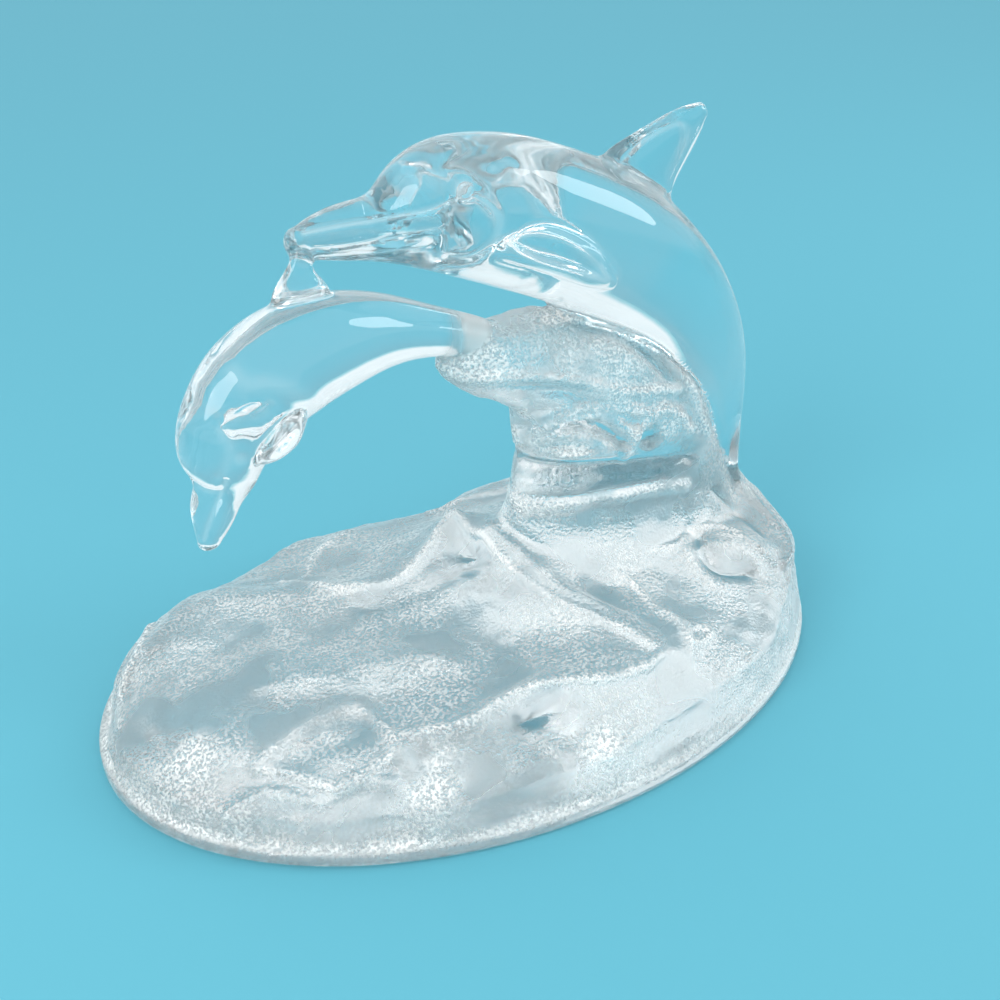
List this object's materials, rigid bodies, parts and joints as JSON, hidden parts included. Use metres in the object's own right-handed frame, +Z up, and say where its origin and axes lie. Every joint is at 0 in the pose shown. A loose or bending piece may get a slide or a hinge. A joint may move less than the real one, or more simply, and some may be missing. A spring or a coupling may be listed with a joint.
{
  "type": "glass dolphin figurine",
  "caption": "Clear moulded glass figurine of a large and a small dolphin leaping from a frosted wave on a rough oval base.",
  "frame": {"origin": "middle of the flat underside of the oval base", "axes": "+Z up, +X along the base towards the end where the tails rise, -Y towards the side with the fuller waves"},
  "size_m": [0.18, 0.122, 0.128],
  "materials": {
    "glass": "polished dolphins, satin-frosted wave and base"
  },
  "bodies": {
    "root": {"dolphin_figurine": "glass"}
  },
  "joints": []
}
